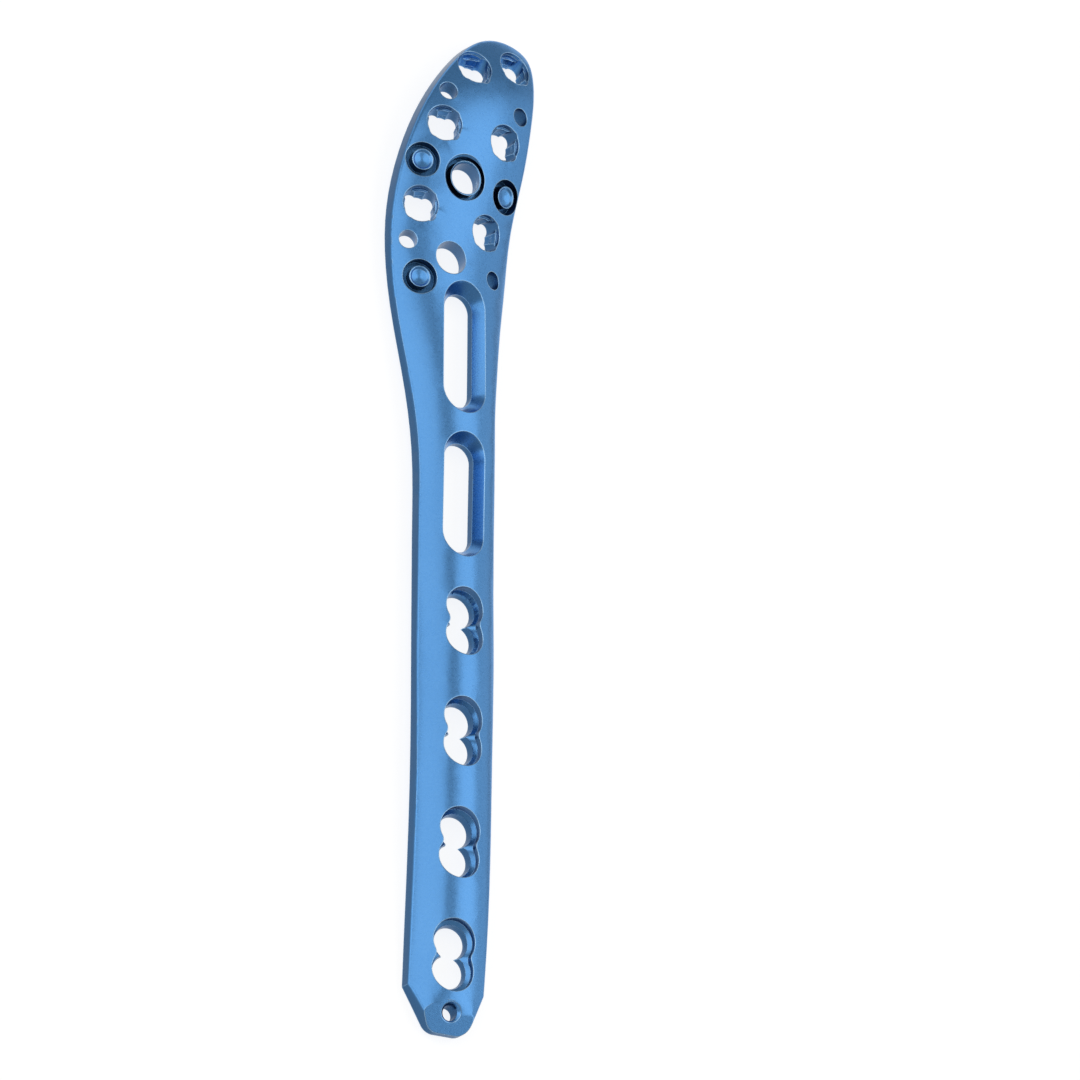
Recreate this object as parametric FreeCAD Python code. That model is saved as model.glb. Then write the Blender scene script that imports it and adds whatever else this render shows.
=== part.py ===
import FreeCAD, Part
import math
import os

from FreeCAD import Placement, Rotation, Vector

# Periarticular locking bone plate, milled from one piece of titanium, in millimetres.
# X runs across the plate, Y from the tip to the head, Z up. The plate lies on its
# hollow underside, and the origin is the middle of its footprint.
# Until the last step, Y starts at the tip and Z at the top surface near the tip.

# Row of holes along the shaft
row_x = -0.35
tip_hole_x = -0.05
tip_hole_drop = 1.6
tip_hole_d = 2.1
tip_sink_d = 2.85
combi_first_y = 11.3
combi_pitch = 15.75
combi_count = 4
slot_gap = 18.1
slot_pitch = 20.9
slot_low_x = -0.65
slot_high_x = -0.95
head_gap = 9.4

# Combination holes: two tapered circles that run into each other
combi_mouth_d = 5.6
combi_mouth_step = 0.15
combi_neck_d = 4.5
combi_offset = 4.05
combi_lip = 0.5
combi_thick = (2.9, 3.2, 3.3, 3.3)

# Sliding slots: a wide sloping mouth over a narrow straight slot
slot_neck_w = 4.5
slot_neck_h = 1.1
slot_low_mouth_w = 6.8
slot_low_l = 17.7
slot_high_mouth_w = 7.2
slot_high_l = 18.8
slot_low_thick = 3.2
slot_high_thick = 3.1

# Locking holes in the head: a round mouth over a tapered bore with four lobes
head_thick = 2.75
lock_mouth_d = 4.95
lock_mouth_h = 0.55
lock_bore_top_d = 4.5
lock_bore_low_d = 3.8
lobe_d = 1.9
lobe_circle_d = 3.3

# Small pin holes, and the smooth hole at the foot of the head
pin_hole_d = 2.5
smooth_hole_d = 4.5

# Docking rings: a groove milled round a post that keeps the plate's surface
ring_groove_d = 4.8
ring_post_d = 2.95
ring_depth = 1.5
ring_dish_d = 2.75
ring_dish_h = 0.3
ring_floor_h = 0.55

# Guide fixing hole: the same ring, larger, with a bore through its post
guide_groove_d = 5.95
guide_post_d = 4.75
guide_rim_d = 6.55
guide_rim_h = 0.2
guide_bore_d = 4.2
guide_sink_d = 4.65

# Outline of the shaft and the tip
tip_end_y = 0.7
tip_end_left_x = -2.5
tip_end_right_x = 2.7
tip_end_r = 2.0
tip_corner_y = 6.8
shaft_right_x = 4.85
shaft_right_tip_x = 5.1
shaft_left_tip_x = -5.8
shaft_left_x = -6.6
flare_drop = 37.0

# Bevel that thins the tip
bevel_start_y = 5.0
bevel_start_z = 0.25
bevel_angle = 24.0
bevel_roll = -8.0
bevel_block_w = 40.0
bevel_block_l = 20.0

# Section of the plate
underside_r = 40.0
top_edge_r = 0.6
blank_reach = 15.0
blank_spread = 0.86
blank_floor = -30.0
blank_height = 40.0
upright_slope = 0.02

# Reach of the cutters above and below the surface, and past each other
over = 6.0
under = 12.0
spare = 1.0
overlap = 0.01

slot_low_y = combi_first_y + (combi_count - 1) * combi_pitch + slot_gap
slot_high_y = slot_low_y + slot_pitch
head_y = slot_high_y + head_gap


def combi_y(number):
    """Y of a combination hole, counted from the tip."""
    return combi_first_y + number * combi_pitch


# Each station: Y, middle X, height of the top there, roll in degrees, crown radius, thickness
stations = [
    (-5.0, -0.4, -0.7, -8.0, 11.5, 2.1),
    (combi_y(0), -0.4, 0.85, -9.0, 10.5, combi_thick[0]),
    (combi_y(1), -0.4, 1.80, -6.5, 9.8, combi_thick[1]),
    (combi_y(2), -0.4, 2.05, -4.0, 9.5, combi_thick[2]),
    (combi_y(3), -0.4, 1.85, -3.0, 9.6, combi_thick[3]),
    (slot_low_y, -0.6, 1.50, -1.5, 10.8, slot_low_thick),
    (slot_high_y - 2.5, -1.2, 1.35, 0.0, 14.5, slot_high_thick),
    (head_y, -1.8, 1.10, 2.5, 20.0, 2.9),
    (head_y + 11.0, -1.8, 1.50, 1.0, 25.5, head_thick),
    (head_y + 22.0, 0.0, 2.35, 0.0, 26.5, 2.7),
    (head_y + 34.0, 3.2, 0.20, 1.0, 22.0, 2.6),
    (head_y + 43.0, 4.5, -6.00, 1.0, 19.0, 2.6),
]

# Outline of the head, from the left flare round to the right: X, and Y above head_y
head_outline = [
    (-6.9, -25.0), (-8.1, -16.3), (-10.5, -5.5), (-11.85, 5.2), (-10.75, 15.8),
    (-8.2, 23.5), (-2.85, 31.6), (2.6, 35.6), (6.2, 35.7), (9.0, 34.1), (9.6, 31.0),
    (8.95, 24.5), (8.0, 16.6), (7.0, 9.5), (6.5, 1.5), (5.5, -6.5), (4.75, -15.0),
]

# Holes of the head: X, Y above head_y, then how far the axis leans to +X and +Y, in degrees
locking_holes = [
    (-0.5, 30.6, -6.0, 17.0), (6.2, 32.0, -4.0, 12.0), (-5.4, 21.4, -8.0, 11.0),
    (4.1, 20.5, -7.0, 9.0), (-8.2, 9.6, -8.0, 13.0), (2.2, 7.6, -2.0, 4.0),
]
pin_holes = [
    (-4.75, 26.2, -5.0, 6.0), (6.6, 24.8, 0.0, 0.0), (-9.7, 4.4, -5.0, 4.0), (3.8, 1.4, 0.0, 0.0),
]
ring_places = [(-8.25, 15.8, 0.0, 0.0), (5.1, 13.3, 0.0, 0.0), (-7.9, -0.6, 0.0, 0.0)]
guide_place = (-1.85, 14.25, -3.0, 2.0)
guide_bore_lean = (-12.0, 8.0)
smooth_place = (-3.5, 2.8, -12.0, 2.0)


def arc_points(center_x, center_z, radius, angles, y):
    """Points of an arc in a section plane, at angles from straight up."""
    return [Vector(center_x + radius * math.sin(a), y, center_z + radius * math.cos(a)) for a in angles]


def section_arcs(station):
    """Top arc and underside arc of one section, both from left to right."""
    y, mid_x, top_z, roll, crown_r, thick = station
    lean = math.radians(roll)
    low_x = mid_x - thick * math.sin(lean)
    low_z = top_z - thick * math.cos(lean)
    arcs = []
    for x, z, r in ((mid_x, top_z, crown_r), (low_x, low_z, underside_r)):
        half = math.asin(min(blank_reach / r, blank_spread))
        angles = (lean - half, lean, lean + half)
        arcs.append(Part.Arc(*arc_points(x - r * math.sin(lean), z - r * math.cos(lean), r, angles, y)))
    return arcs


def below(which):
    """Everything under the top arcs, or under the underside arcs, down to a flat floor."""
    wires = []
    for station in stations:
        arc = section_arcs(station)[which].toShape()
        left, right = arc.Vertexes[0].Point, arc.Vertexes[-1].Point
        floor_left = Vector(left.x, left.y, blank_floor)
        floor_right = Vector(right.x, right.y, blank_floor)
        sides = [(right, floor_right), (floor_right, floor_left), (floor_left, left)]
        wires.append(Part.Wire([arc] + [Part.makeLine(start, end) for start, end in sides]))
    return Part.makeLoft(wires, True)


def top_surface():
    """Crowned top of the plate, which every hole is square to."""
    return Part.makeLoft([Part.Wire([section_arcs(s)[0].toShape()]) for s in stations], False)


def outline_wire():
    """Outline of the plate seen from above, with a sharp-cornered tip."""
    flare_left = Vector(shaft_left_x, head_y - flare_drop, 0)
    flare_right = Vector(shaft_right_x, head_y - flare_drop, 0)
    tip = [
        flare_right,
        Vector(shaft_right_tip_x, tip_corner_y, 0),
        Vector(tip_end_right_x, tip_end_y, 0),
        Vector(tip_end_left_x, tip_end_y, 0),
        Vector(shaft_left_tip_x, tip_corner_y, 0),
        flare_left,
    ]
    points = [flare_left] + [Vector(x, head_y + dy, 0) for x, dy in head_outline] + [flare_right]
    head = Part.BSplineCurve()
    head.interpolate(Points=points, InitialTangent=tip[5] - tip[4], FinalTangent=tip[1] - tip[0])
    return Part.Wire([head.toShape()] + [Part.makeLine(start, end) for start, end in zip(tip, tip[1:])])


def bevel_place():
    """Placement of the tip's bevel, with its Z square to the bevel."""
    tilt = Rotation(Vector(0, 1, 0), bevel_roll) * Rotation(Vector(1, 0, 0), bevel_angle)
    return Placement(Vector(tip_hole_x, bevel_start_y, bevel_start_z), tilt)


def top_edges(plate):
    """Edges where the upright wall meets the top."""
    found = []
    for edge in plate.Edges:
        middle = edge.valueAt((edge.FirstParameter + edge.LastParameter) / 2)
        normals = [f.normalAt(*f.Surface.parameter(middle)) for f in plate.ancestorsOfType(edge, Part.Face)]
        level = [n for n in normals if abs(n.z) > upright_slope]
        if len(level) == 1 and level[0].z > 0:
            found.append(edge)
    return found


def body():
    """The plate before its holes: outline, rounded top edge and bevel."""
    prism = Part.Face(outline_wire()).extrude(Vector(0, 0, blank_height))
    prism.translate(Vector(0, 0, blank_floor + spare))
    at_tip = [edge for edge in prism.Edges if edge.BoundBox.YMax < tip_corner_y - spare]
    upright = [edge for edge in at_tip if edge.Length > blank_height - spare]
    prism = prism.makeFillet(tip_end_r, upright)
    plate = prism.common(below(0)).cut(below(1)).Solids[0]
    plate = plate.makeFillet(top_edge_r, top_edges(plate)).Solids[0]
    corner = Vector(-bevel_block_w / 2, -bevel_block_l, 0)
    bevel = Part.makeBox(bevel_block_w, bevel_block_l, bevel_block_l, corner)
    bevel.Placement = bevel_place()
    return plate.cut(bevel).Solids[0]


def seat(top, x, y, lean_x=0.0, lean_y=0.0):
    """Placement on the top surface, with Z along the hole's axis and Y towards the head."""
    probe = Part.makeLine(Vector(x, y, blank_floor), Vector(x, y, -blank_floor))
    gap, pairs, info = top.distToShape(probe)
    point = pairs[0][0]
    face = top.Faces[0]
    u, v = face.Surface.parameter(point)
    normal = face.Surface.normal(u, v)
    if normal.z < 0:
        normal = normal * -1
    tilt = Rotation(Vector(0, 1, 0), lean_x) * Rotation(Vector(1, 0, 0), -lean_y)
    axis = tilt.multVec(normal)
    side = Vector(0, 1, 0).cross(axis).normalize()
    return Placement(point, Rotation(side, axis.cross(side), axis, "ZXY"))


def disc(diameter, low, high):
    """Round cutter from one height to another."""
    return Part.makeCylinder(diameter / 2, high - low, Vector(0, 0, low))


def taper(low_d, high_d, low, high):
    """Cone between two heights."""
    return Part.makeCone(low_d / 2, high_d / 2, high - low, Vector(0, 0, low))


def countersink(diameter):
    """Right-angled cone with its mouth at height 0, open above."""
    return taper(0, diameter, -diameter / 2, 0).fuse(disc(diameter, 0, over))


def locking_cutter():
    """Round mouth, tapered bore and four lobes on its diagonals."""
    parts = [
        disc(lock_mouth_d, -lock_mouth_h, over),
        taper(lock_bore_low_d, lock_bore_top_d, -head_thick, 0),
        disc(lock_bore_low_d, -under, overlap - head_thick),
    ]
    for quarter in range(4):
        angle = math.radians(45 + 90 * quarter)
        lobe = disc(lobe_d, -under, 0)
        lobe.translate(Vector(math.cos(angle), math.sin(angle), 0) * lobe_circle_d / 2)
        parts.append(lobe)
    return parts[0].fuse(parts[1:])


def tip_cutter():
    """Upright bore in the bevel, with a countersink square to the bevel."""
    center = Vector(0, -tip_hole_drop, 0)
    sink = countersink(tip_sink_d)
    sink.translate(center)
    sink.Placement = bevel_place().multiply(sink.Placement)
    bore = disc(tip_hole_d, -under, over)
    bore.translate(bevel_place().multVec(center))
    return bore.fuse(sink)


def combi_cutter(number):
    """Two tapered circles in line with the shaft; the mouth is wider nearer to the tip."""
    mouth_d = combi_mouth_d + combi_mouth_step * (combi_count - 1 - number)
    slope_h = combi_thick[number] - combi_lip
    wide_d = mouth_d + (mouth_d - combi_neck_d) / slope_h * over
    parts = []
    for side in (-1, 1):
        neck = disc(combi_neck_d, -under, over)
        cone = taper(combi_neck_d, wide_d, -slope_h, over)
        for shape in (neck, cone):
            shape.translate(Vector(0, side * combi_offset / 2, 0))
            parts.append(shape)
    return parts[0].fuse(parts[1:])


def stadium(width, length, z):
    """Wire of a slot with round ends, in line with Y."""
    r = width / 2
    run = length / 2 - r
    a, b = Vector(-r, -run, z), Vector(-r, run, z)
    c, d = Vector(r, run, z), Vector(r, -run, z)
    return Part.Wire([
        Part.makeLine(a, b),
        Part.Arc(b, Vector(0, run + r, z), c).toShape(),
        Part.makeLine(c, d),
        Part.Arc(d, Vector(0, -run - r, z), a).toShape(),
    ])


def slot_cutter(mouth_w, length, thick):
    """Straight slot with a sloping mouth all round."""
    neck_l = length - (mouth_w - slot_neck_w)
    neck = Part.Face(stadium(slot_neck_w, neck_l, -under)).extrude(Vector(0, 0, under + over))
    depth = thick - slot_neck_h
    flare = (mouth_w - slot_neck_w) * (1 + over / depth)
    mouth = Part.makeLoft([
        stadium(slot_neck_w, neck_l, -depth),
        stadium(slot_neck_w + flare, neck_l + flare, over),
    ], True, True)
    return neck.fuse(mouth)


def ring_cutter():
    """Groove round a post, with a sunk centre mark in the post's top."""
    groove = disc(ring_groove_d, -ring_depth, over)
    post = disc(ring_post_d, -ring_depth - spare, over + spare)
    floor_d = ring_dish_d - 2 * ring_dish_h
    dish = taper(floor_d, ring_dish_d, -ring_dish_h, 0).fuse(disc(ring_dish_d, 0, over))
    mark = taper(0, floor_d, -ring_floor_h, -ring_dish_h)
    return groove.cut(post).fuse([dish, mark])


def guide_cutter():
    """Groove with a shallow sloping rim, round a post with a countersunk top."""
    groove = disc(guide_groove_d, -ring_depth, over)
    rim = taper(guide_groove_d, guide_rim_d, -guide_rim_h, 0).fuse(disc(guide_rim_d, 0, over))
    post = disc(guide_post_d, -ring_depth - spare, over + spare)
    return groove.fuse(rim).cut(post).fuse(countersink(guide_sink_d))


def cutters(top):
    """Every hole, slot and groove in its place."""
    placed = [tip_cutter()]

    def put(shape, place):
        shape.Placement = place
        placed.append(shape)

    for number in range(combi_count):
        put(combi_cutter(number), seat(top, row_x, combi_y(number)))
    put(slot_cutter(slot_low_mouth_w, slot_low_l, slot_low_thick), seat(top, slot_low_x, slot_low_y))
    put(slot_cutter(slot_high_mouth_w, slot_high_l, slot_high_thick), seat(top, slot_high_x, slot_high_y))
    for x, dy, lean_x, lean_y in locking_holes:
        put(locking_cutter(), seat(top, x, head_y + dy, lean_x, lean_y))
    for x, dy, lean_x, lean_y in pin_holes:
        put(disc(pin_hole_d, -under, over), seat(top, x, head_y + dy, lean_x, lean_y))
    for x, dy, lean_x, lean_y in ring_places:
        put(ring_cutter(), seat(top, x, head_y + dy, lean_x, lean_y))
    x, dy, lean_x, lean_y = guide_place
    put(guide_cutter(), seat(top, x, head_y + dy, lean_x, lean_y))
    put(disc(guide_bore_d, -under, over), seat(top, x, head_y + dy, *guide_bore_lean))
    x, dy, lean_x, lean_y = smooth_place
    put(disc(smooth_hole_d, -under, over), seat(top, x, head_y + dy, lean_x, lean_y))
    return placed


def bone_plate():
    """Finished plate, still in the place it is drawn in."""
    return body().cut(cutters(top_surface())).Solids[0]


def footprint_shift(plate):
    """Move that brings the middle of the footprint to the origin."""
    box = plate.optimalBoundingBox(False, False)
    return Vector(-box.Center.x, -box.Center.y, -box.ZMin)


if __name__ == "__main__":
    os.makedirs("parts", exist_ok=True)
    plate = bone_plate()
    plate.translate(footprint_shift(plate))
    plate.exportStep("parts/bone_plate.step")
    print("volume", round(plate.Volume, 1), "valid", plate.isValid())
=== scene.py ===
import math

import bmesh
import bpy
from mathutils import Matrix, Vector


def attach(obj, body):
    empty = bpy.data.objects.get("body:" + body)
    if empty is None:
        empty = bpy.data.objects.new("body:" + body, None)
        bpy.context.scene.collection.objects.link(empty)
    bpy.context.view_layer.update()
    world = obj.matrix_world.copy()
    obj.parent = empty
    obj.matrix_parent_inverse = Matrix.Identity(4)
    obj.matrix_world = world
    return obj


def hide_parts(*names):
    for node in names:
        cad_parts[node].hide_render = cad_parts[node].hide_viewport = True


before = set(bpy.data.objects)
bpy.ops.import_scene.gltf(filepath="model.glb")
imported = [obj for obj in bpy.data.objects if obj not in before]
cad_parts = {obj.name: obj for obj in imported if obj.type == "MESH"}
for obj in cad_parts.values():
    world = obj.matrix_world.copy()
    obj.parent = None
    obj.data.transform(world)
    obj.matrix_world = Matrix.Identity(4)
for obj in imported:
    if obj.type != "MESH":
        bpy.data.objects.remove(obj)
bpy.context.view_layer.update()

# The plate lies on its hollow underside on a pale floor. X runs across it, Y from the tip to the
# head, Z up, in metres, as in the frame.

MM = 0.001

# Camera: square to the frame below, so the plate stands upright in the picture
camera_right = Vector((0.8437, 0.02067, 0.53642))
camera_up = Vector((-0.20426, 0.93646, 0.28518))
camera_aim = Vector((-2.481, -9.592, 28.794)) * MM
camera_distance = 1.2
camera_near = 0.01
camera_far = 10
frame_width = 144 * MM

# Lamps: long panels in line with the plate. Each has its name, its angle across the plate from
# straight up in degrees, its width and its brightness.
lamps = [
    ("left_panel", -33.5, 1.25, 0.90),
    ("right_panel", 30, 0.78, 1.04),
    ("low_right_panel", 66, 0.50, 0.45),
    ("low_left_panel", -80, 0.51, 1.2),
]
lamp_distance = 1.2
lamp_length = 1.30
lamp_lift = math.radians(3)
sky_strength = 0.37

# Ground: its paper, its brightness to the camera and in the metal, and the share of that which
# takes no shadow
paper_color = (0.80, 0.80, 0.805, 1)
paper_roughness = 0.9
ground_glow = 1.21
ground_share = 0.7
floor_half = 3.0

# Colours of the metal: pale and full on the open faces, deep blue painted as shade in the holes and
# on upright walls, light blue painted as a highlight along the edges
blue_pale = (0.123, 0.335, 0.675, 1)
blue_full = (0.092, 0.280, 0.600, 1)
blue_painted_shade = (0.006, 0.020, 0.048, 1)
blue_painted_highlight = (0.42, 0.68, 0.95, 1)

# Noise of the metal: features in a metre, shares of the finer noise, and contrast of the colour
grain_scale = 7000
mottle_scale = 3200
cloud_scale = 60
mottle_share = 0.7
grain_share = 0.7
tone_contrast = 2.4

# Painted shade by openness: how far a place looks, and the range of it that turns the painted-shade
# blue to open blue
open_reach = 2.6 * MM
open_samples = 6
painted_shade_gain = 3.2
painted_shade_start = 0.55

# Walls: share of painted shade (deep blue) on upright faces, and how soon it fades on faces that
# look up or down
wall_shade_share = 0.68
level_gain = 4

# Edges: how round they look, and how far and how strongly the painted highlight line shows on open
# ones
edge_round = 0.20 * MM
edge_samples = 8
edge_highlight_gain = 14
highlight_open_gain = 2
highlight_open_start = 0.7
edge_highlight_strength = 0.85

# Surface of the metal: height of the grain, and the roughness with its noise
bump_height = 0.03 * MM
bump_strength = 0.26
rough_base = 0.22
rough_mottle = 0.08
rough_grain = 0.05

# Shading of the curved faces: points closer than the gap are one, and wider angles stay sharp
weld_gap = 0.0001 * MM
sharp_angle = math.radians(24)

# Locking holes: middle of the mouth in millimetres, axis of the bore, and the plate's own slope
locking_seats = [
    ((0.628, 65.784, 4.906), (-0.1867, 0.5516, 0.8129), (-0.1007, 0.2855, 0.9531)),
    ((7.328, 67.184, 4.279), (0.1024, 0.4722, 0.8755), (0.1633, 0.2818, 0.9455)),
    ((-4.272, 56.584, 5.449), (-0.3294, 0.2046, 0.9217), (-0.1979, 0.0180, 0.9800)),
    ((5.228, 55.684, 5.578), (0.0430, 0.0788, 0.9960), (0.1641, -0.0760, 0.9835)),
    ((-7.072, 44.784, 4.365), (-0.3609, 0.1710, 0.9168), (-0.2298, -0.0489, 0.9720)),
    ((3.328, 42.784, 4.392), (0.1710, -0.0164, 0.9851), (0.2053, -0.0846, 0.9750)),
]
mouth_r = 2.475 * MM
mouth_depth = 0.6 * MM
mouth_points = 96

# Height of every cutter above the plate's top
cutter_rise = 1.0 * MM

# Combination holes: middle of the mouth in millimetres, axis, mouth radius and plate thickness
combination_seats = [
    ((0.778, -60.466, 4.498), (-0.1511, -0.0875, 0.9846), 3.025 * MM, 2.9 * MM),
    ((0.778, -44.716, 5.446), (-0.1080, -0.0323, 0.9936), 2.950 * MM, 3.2 * MM),
    ((0.778, -28.966, 5.693), (-0.0645, -0.0039, 0.9979), 2.875 * MM, 3.3 * MM),
    ((0.778, -13.216, 5.493), (-0.0471, 0.0307, 0.9984), 2.800 * MM, 3.3 * MM),
]
circle_offset = 4.05 / 2 * MM
band_depth = 1.45 * MM
neck_r = 2.20 * MM
neck_above_floor = 0.95 * MM
mouth_cusp_r = 1.3 * MM
neck_cusp_r = 0.2 * MM
outline_points = 180

# Screw threads on the columns of each locking hole
columns = 4
thread_start = 1.42 * MM
thread_pitch = 0.28 * MM
thread_turns = 2
thread_depth = 0.07 * MM
bore_top_r = 2.25 * MM
bore_slope = 0.1273
column_half_angle = math.radians(16)
ridge_points = 9
ridge_sides = 4


def plug(tree, socket, value):
    """Links a value or another socket to a socket, or writes a plain number or colour on it."""
    if isinstance(value, Value):
        value = value.socket
    if isinstance(value, bpy.types.NodeSocket):
        tree.links.new(value, socket)
    else:
        socket.default_value = value


def new_node(tree, kind, settings, inputs):
    """Node with its settings made and its inputs, named or numbered, plugged."""
    node = tree.nodes.new(kind)
    for name, value in settings.items():
        setattr(node, name, value)
    for key, value in inputs.items():
        plug(tree, node.inputs[key], value)
    return node


class Value:
    """A shader socket that can be used in sums; numbers and other sockets may stand beside it."""

    def __init__(self, tree, socket):
        self.tree = tree
        self.socket = socket

    def math(self, operation, other):
        node = new_node(self.tree, "ShaderNodeMath", {"operation": operation}, {0: self, 1: other})
        return Value(self.tree, node.outputs[0])

    def __add__(self, other):
        return self.math("ADD", other)

    __radd__ = __add__

    def __mul__(self, other):
        return self.math("MULTIPLY", other)

    __rmul__ = __mul__

    def __sub__(self, other):
        return self.math("SUBTRACT", other)

    def __rsub__(self, other):
        return self.math("MULTIPLY", -1.0).math("ADD", other)

    def clamp(self):
        return self.math("MAXIMUM", 0.0).math("MINIMUM", 1.0)


class Material:
    """A node material built from expressions and one method for every other node."""

    def __init__(self, name):
        self.material = bpy.data.materials.new(name)
        self.material.use_nodes = True
        self.tree = self.material.node_tree
        self.tree.nodes.clear()

    def node(self, kind, settings=None, output=0, **sockets):
        inputs = {name.replace("_", " "): value for name, value in sockets.items()}
        node = new_node(self.tree, kind, settings or {}, inputs)
        return Value(self.tree, node.outputs[output])

    def noise(self, place, scale, roughness):
        return self.node("ShaderNodeTexNoise", Vector=place, Scale=scale, Detail=2.0,
                         Roughness=roughness)

    def mix(self, factor, first, second):
        """Colour between two colours, which are plain or sockets."""
        node = new_node(self.tree, "ShaderNodeMix", {"data_type": "RGBA"}, {})
        by_name = {socket.identifier: socket for socket in node.inputs}
        for name, value in (("Factor_Float", factor), ("A_Color", first), ("B_Color", second)):
            plug(self.tree, by_name[name], value)
        return Value(self.tree, [o for o in node.outputs if o.identifier == "Result_Color"][0])

    def mix_shader(self, factor, first, second):
        node = new_node(self.tree, "ShaderNodeMixShader", {}, {0: factor, 1: first, 2: second})
        return Value(self.tree, node.outputs[0])

    def dot(self, first, second):
        """Cosine between two directions."""
        node = new_node(self.tree, "ShaderNodeVectorMath", {"operation": "DOT_PRODUCT"},
                        {0: first, 1: second})
        return Value(self.tree, node.outputs["Value"])

    def finish(self, surface):
        new_node(self.tree, "ShaderNodeOutputMaterial", {}, {"Surface": surface})
        return self.material


class Nodes:
    """A geometry tree with named inputs, built by one method for every node."""

    def __init__(self, name):
        self.tree = bpy.data.node_groups.new(name, "GeometryNodeTree")
        self.port("Geometry", "INPUT", "NodeSocketGeometry")
        self.inlet = None

    def port(self, name, way, kind):
        return self.tree.interface.new_socket(name, in_out=way, socket_type=kind).identifier

    def take(self, name, kind):
        return self.port(name, "INPUT", kind)

    def open(self):
        self.inlet = self.tree.nodes.new("NodeGroupInput")

    def given(self, name):
        return self.inlet.outputs[name]

    def node(self, kind, settings=None, inputs=None):
        return new_node(self.tree, kind, settings or {}, inputs or {}).outputs[0]

    def math(self, operation, first, second):
        return self.node("ShaderNodeMath", {"operation": operation}, {0: first, 1: second})

    def close(self, geometry):
        self.port("Geometry", "OUTPUT", "NodeSocketGeometry")
        outlet = self.tree.nodes.new("NodeGroupOutput")
        self.tree.links.new(geometry, outlet.inputs[0])


def anodised_titanium():
    """Blue anodised titanium with a fine blasted grain, with shade painted deep blue down in the
    holes and grooves and on upright walls, and a painted highlight along open edges.
    """
    made = Material("anodised_titanium")
    place = made.node("ShaderNodeTexCoord", output="Object")
    grain = made.noise(place, grain_scale, 0.6)
    mottle = made.noise(place, mottle_scale, 0.7)
    cloud = made.noise(place, cloud_scale, 0.5)
    tone = (mottle * mottle_share + cloud * (1 - mottle_share) - 0.5) * tone_contrast + 0.5
    face = made.mix(tone.clamp(), blue_full, blue_pale)
    openness = made.node(
        "ShaderNodeAmbientOcclusion", {"samples": open_samples, "only_local": True},
        output="AO", Distance=open_reach,
    )
    # Painted shade: places that see little of their surroundings turn deep blue
    shaded = made.mix((openness * painted_shade_gain - painted_shade_start).clamp(), blue_painted_shade, face)
    rounded = made.node("ShaderNodeBevel", {"samples": edge_samples}, Radius=edge_round)
    flat = made.node("ShaderNodeNewGeometry", output="Normal")
    # Painted highlight: a light blue line where the rounded normal turns from the flat one, on open
    # edges only
    turned = 1.0 - made.dot(rounded, flat)
    edge = (turned * edge_highlight_gain).clamp() * (openness * highlight_open_gain - highlight_open_start).clamp()
    # Painted shade: upright walls turn towards deep blue, less so on faces that look up or down
    facing = made.node("ShaderNodeTexCoord", output="Normal")
    upward = made.node("ShaderNodeSeparateXYZ", output="Z", Vector=facing)
    level = (upward * upward * level_gain).clamp()
    wall_shaded = made.mix((1.0 - level) * wall_shade_share, shaded, blue_painted_shade)
    color = made.mix(edge * edge_highlight_strength, wall_shaded, blue_painted_highlight)
    bumped = made.node(
        "ShaderNodeBump", Strength=bump_strength, Distance=bump_height,
        Height=grain * grain_share + mottle * (1 - grain_share), Normal=rounded,
    )
    surface = made.node(
        "ShaderNodeBsdfPrincipled", Base_Color=color, Metallic=1.0,
        Roughness=rough_base + mottle * rough_mottle + grain * rough_grain, Normal=bumped,
    )
    return made.finish(surface)


def pale_paper():
    """Plain ground that looks nearly white, also in the metal, and keeps a light shadow."""
    made = Material("ground")
    matt = made.node("ShaderNodeBsdfPrincipled", Base_Color=paper_color, Roughness=paper_roughness)
    glow = made.node("ShaderNodeEmission", Color=(1, 1, 1, 1), Strength=ground_glow)
    camera_ray, glossy_ray, clear_ray = [
        made.node("ShaderNodeLightPath", output="Is %s Ray" % kind)
        for kind in ("Camera", "Glossy", "Transmission")
    ]
    seen = (camera_ray + glossy_ray + clear_ray).clamp()
    return made.finish(made.mix_shader(seen * ground_share, matt, glow))


def linked(name, data):
    """New object in the scene."""
    added = bpy.data.objects.new(name, data)
    bpy.context.scene.collection.objects.link(added)
    return added


def baked(maker, name):
    """Mesh that an object's modifiers make."""
    bpy.context.view_layer.update()
    seen = maker.evaluated_get(bpy.context.evaluated_depsgraph_get())
    mesh = bpy.data.meshes.new_from_object(seen)
    mesh.name = name
    return mesh


def seat_turn(axis):
    """Turn that sets Z along an axis and keeps Y towards the head."""
    up = Vector(axis).normalized()
    side = Vector((0, 1, 0)).cross(up).normalized()
    return Matrix((side, up.cross(side), up)).transposed()


def round_cutter(build, place, slope):
    """Short round that sinks the mouth of one locking hole square to the plate."""
    turn = seat_turn(slope)
    middle = Vector(place) * MM + turn @ Vector((0, 0, (cutter_rise - mouth_depth) / 2))
    bmesh.ops.create_cone(
        build, cap_ends=True, segments=mouth_points, radius1=mouth_r, radius2=mouth_r,
        depth=cutter_rise + mouth_depth, matrix=Matrix.Translation(middle) @ turn.to_4x4(),
    )


def eight_outline(r, cusp_r):
    """Outline of two overlapping circles in line with Y, with its two cusps rounded."""
    cusp_x = math.sqrt((r + cusp_r) ** 2 - circle_offset ** 2)
    cusp_end = math.atan2(circle_offset * cusp_r, cusp_x * r)
    points = []
    for step in range(outline_points):
        angle = 2 * math.pi * step / outline_points
        across, along = math.cos(angle), math.sin(angle)
        if math.atan2(abs(along), abs(across)) < cusp_end:
            reach = cusp_x * abs(across) - math.sqrt(cusp_r ** 2 - (cusp_x * along) ** 2)
        else:
            reach = circle_offset * abs(along) + math.sqrt(r ** 2 - (circle_offset * across) ** 2)
        points.append((reach * across, reach * along))
    return points


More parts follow.
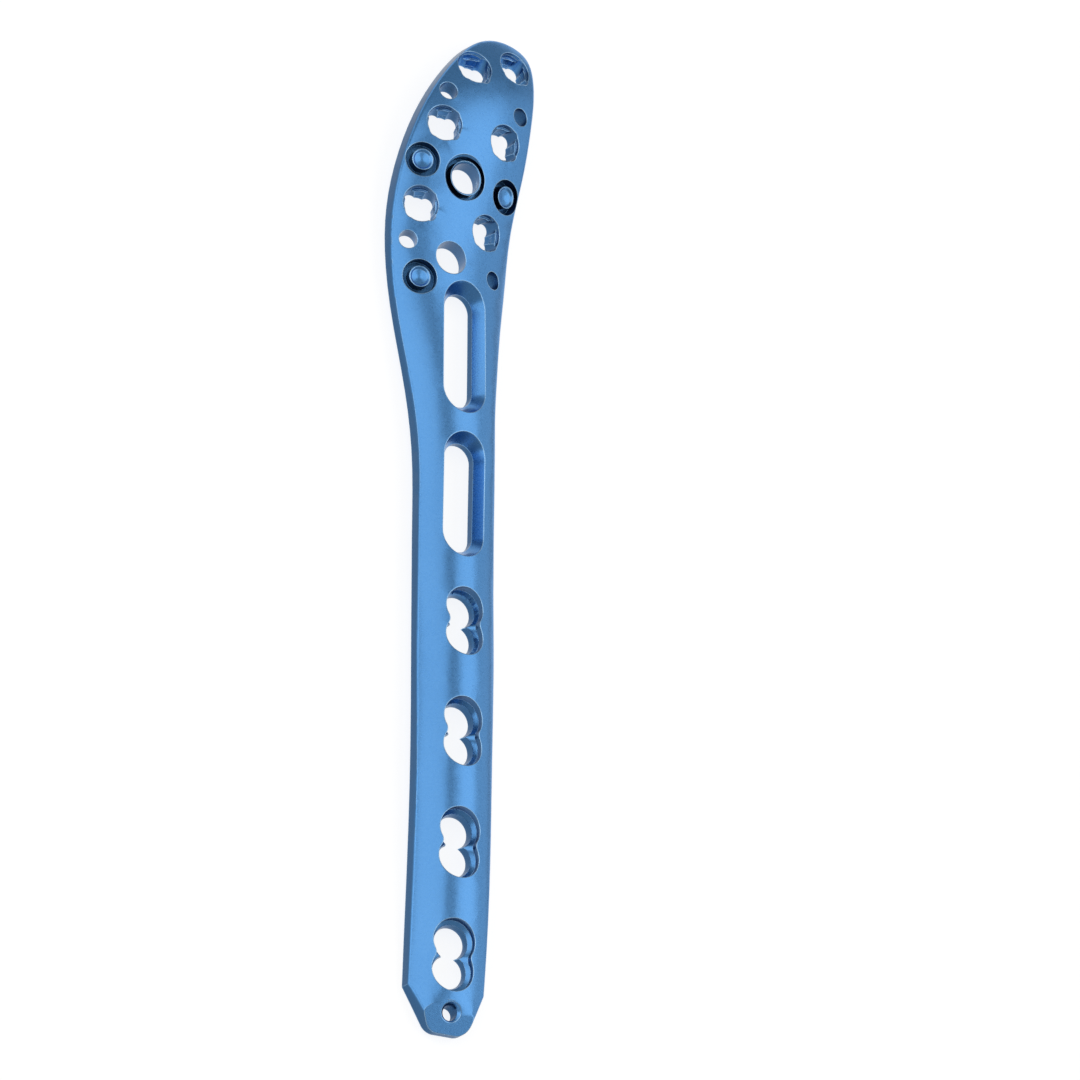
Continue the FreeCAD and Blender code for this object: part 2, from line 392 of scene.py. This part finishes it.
def band_cutter(build, place, axis, wide_r, thick):
    """Steep upper band and inner slope of one combination hole."""
    turn = seat_turn(axis)
    wide = eight_outline(wide_r, mouth_cusp_r)
    neck = eight_outline(neck_r, neck_cusp_r)
    levels = [(neck, neck_above_floor - thick), (wide, -band_depth), (wide, cutter_rise)]
    rings = []
    for outline, height in levels:
        corners = [Vector(place) * MM + turn @ Vector((x, y, height)) for x, y in outline]
        rings.append([build.verts.new(corner) for corner in corners])
    for low, high in zip(rings, rings[1:]):
        for step in range(outline_points):
            after = (step + 1) % outline_points
            build.faces.new((low[step], low[after], high[after], high[step]))
    build.faces.new(list(reversed(rings[0])))
    build.faces.new(rings[-1])


def mouth_cutters():
    """Object that holds the cutters of all the locking and combination holes."""
    build = bmesh.new()
    for place, axis, slope in locking_seats:
        round_cutter(build, place, slope)
    for place, axis, wide_r, thick in combination_seats:
        band_cutter(build, place, axis, wide_r, thick)
    mesh = bpy.data.meshes.new("mouth_cutters")
    build.to_mesh(mesh)
    build.free()
    return linked("mouth_cutters", mesh)


def smooth_curves(mesh):
    """Welds the facets and shades all but the sharp edges smooth."""
    build = bmesh.new()
    build.from_mesh(mesh)
    bmesh.ops.remove_doubles(build, verts=build.verts, dist=weld_gap)
    for face in build.faces:
        face.smooth = True
    for edge in build.edges:
        if len(edge.link_faces) == 2:
            edge.smooth = edge.calc_face_angle() < sharp_angle
    build.to_mesh(mesh)
    build.free()


def plate_piece(metal):
    """Visible plate: a welded copy of the CAD plate, with its holes' mouths cut to their form."""
    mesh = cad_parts["bone_plate"].data.copy()
    smooth_curves(mesh)
    rough_plate = linked("rough_plate", mesh)
    cutters = mouth_cutters()
    cut = rough_plate.modifiers.new("mouths", "BOOLEAN")
    cut.operation = "DIFFERENCE"
    cut.solver = "EXACT"
    cut.object = cutters
    finished = baked(rough_plate, "plate")
    for spare in (rough_plate, cutters):
        bpy.data.objects.remove(spare)
    smooth_curves(finished)
    finished.materials.clear()
    finished.materials.append(metal)
    plate = linked("plate", finished)
    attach(plate, "root")
    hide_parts("bone_plate")


def thread_tree(metal):
    """Short ridges that climb the columns of a tapered hole, one set on every given point."""
    made = Nodes("screw_threads")
    numbers = {
        made.take("Start", "NodeSocketFloat"): thread_start,
        made.take("Pitch", "NodeSocketFloat"): thread_pitch,
        made.take("Depth", "NodeSocketFloat"): thread_depth,
        made.take("Bore radius", "NodeSocketFloat"): bore_top_r,
        made.take("Slope", "NodeSocketFloat"): bore_slope,
        made.take("Half angle", "NodeSocketFloat"): column_half_angle,
        made.take("Columns", "NodeSocketInt"): columns,
        made.take("Ridges", "NodeSocketInt"): columns * thread_turns,
    }
    made.open()
    given = made.given
    arc = made.node("GeometryNodeCurveArc", inputs={
        "Resolution": ridge_points, "Radius": given("Bore radius"),
        "Start Angle": made.math("MULTIPLY", given("Half angle"), -1.0),
        "Sweep Angle": made.math("MULTIPLY", given("Half angle"), 2.0),
    })
    profile = made.node("GeometryNodeCurvePrimitiveCircle", inputs={
        "Resolution": ridge_sides, "Radius": given("Depth"),
    })
    ridge = made.node("GeometryNodeCurveToMesh", inputs={
        "Curve": arc, "Profile Curve": profile, "Fill Caps": True,
    })
    index = made.node("GeometryNodeInputIndex")
    turns = made.math("DIVIDE", index, given("Columns"))
    depth = made.math("ADD", made.math("MULTIPLY", turns, given("Pitch")), given("Start"))
    level = made.math("MULTIPLY", depth, -1.0)
    shrink = made.math("DIVIDE", given("Slope"), given("Bore radius"))
    scale = made.math("ADD", made.math("MULTIPLY", shrink, level), 1.0)
    points = made.node("GeometryNodePoints", inputs={
        "Count": given("Ridges"),
        "Position": made.node("ShaderNodeCombineXYZ", inputs={"Z": level}),
    })
    angle = made.math("MULTIPLY", turns, 2 * math.pi)
    hole = made.node("GeometryNodeInstanceOnPoints", inputs={
        "Points": points, "Instance": ridge,
        "Rotation": made.node("ShaderNodeCombineXYZ", inputs={"Z": angle}),
        "Scale": made.node("ShaderNodeCombineXYZ", inputs={"X": scale, "Y": scale, "Z": 1.0}),
    })
    lean = made.node(
        "GeometryNodeInputNamedAttribute", {"data_type": "FLOAT_VECTOR"}, {"Name": "lean"},
    )
    seats = made.node("GeometryNodeInstanceOnPoints", inputs={
        "Points": given("Geometry"), "Instance": hole, "Rotation": lean,
    })
    solid = made.node("GeometryNodeRealizeInstances", inputs={"Geometry": seats})
    made.close(made.node("GeometryNodeSetMaterial", inputs={"Geometry": solid, "Material": metal}))
    return made.tree, numbers


def locking_threads(metal):
    """Screw threads in the locking holes, finer than the solid carries."""
    mesh = bpy.data.meshes.new("seats")
    mesh.from_pydata([Vector(place) * MM for place, axis, slope in locking_seats], [], [])
    lean = mesh.attributes.new("lean", "FLOAT_VECTOR", "POINT")
    for item, (place, axis, slope) in zip(lean.data, locking_seats):
        item.vector = seat_turn(axis).to_euler()
    maker = linked("seats", mesh)
    tree, numbers = thread_tree(metal)
    modifier = maker.modifiers.new("threads", "NODES")
    modifier.node_group = tree
    for identifier, value in numbers.items():
        modifier[identifier] = value
    made = baked(maker, "locking_threads")
    bpy.data.objects.remove(maker)
    threads = linked("locking_threads", made)
    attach(threads, "root")


def floor():
    """Pale ground under the plate."""
    mesh = bpy.data.meshes.new("floor")
    corners = [(x * floor_half, y * floor_half, 0) for x, y in ((-1, -1), (1, -1), (1, 1), (-1, 1))]
    mesh.from_pydata(corners, [], [(0, 1, 2, 3)])
    mesh.materials.append(pale_paper())
    ground = linked("floor", mesh)


def soft_lamp(name, across, width, glow):
    """Long studio panel, turned to the plate's middle, that looks as bright as its glow says."""
    turn = math.radians(across)
    level = math.cos(lamp_lift)
    back = Vector((math.sin(turn) * level, math.sin(lamp_lift), math.cos(turn) * level))
    side = Vector((0, 1, 0)).cross(back).normalized()
    data = bpy.data.lights.new(name, "AREA")
    data.shape = "RECTANGLE"
    data.size = width
    data.size_y = lamp_length
    data.energy = glow * math.pi * width * lamp_length
    lamp = linked(name, data)
    lamp.matrix_world = Matrix((side, back.cross(side), back)).transposed().to_4x4()
    lamp.location = back * lamp_distance


def camera():
    """Camera at the photograph's angle, without perspective."""
    data = bpy.data.cameras.new("camera")
    eye = linked("camera", data)
    right = camera_right.normalized()
    back = right.cross(camera_up).normalized()
    eye.matrix_world = Matrix((right, back.cross(right), back)).transposed().to_4x4()
    eye.location = camera_aim + back * camera_distance
    data.type = "ORTHO"
    data.ortho_scale = frame_width
    data.clip_start = camera_near
    data.clip_end = camera_far
    bpy.context.scene.camera = eye


def sky():
    """Even pale surroundings."""
    world = bpy.data.worlds.new("studio")
    bpy.context.scene.world = world
    world.use_nodes = True
    background = world.node_tree.nodes["Background"]
    background.inputs["Color"].default_value = (1, 1, 1, 1)
    background.inputs["Strength"].default_value = sky_strength


metal = anodised_titanium()
plate_piece(metal)
locking_threads(metal)
floor()
sky()
camera()
for lamp in lamps:
    soft_lamp(*lamp)
bpy.context.scene.view_settings.view_transform = "Standard"
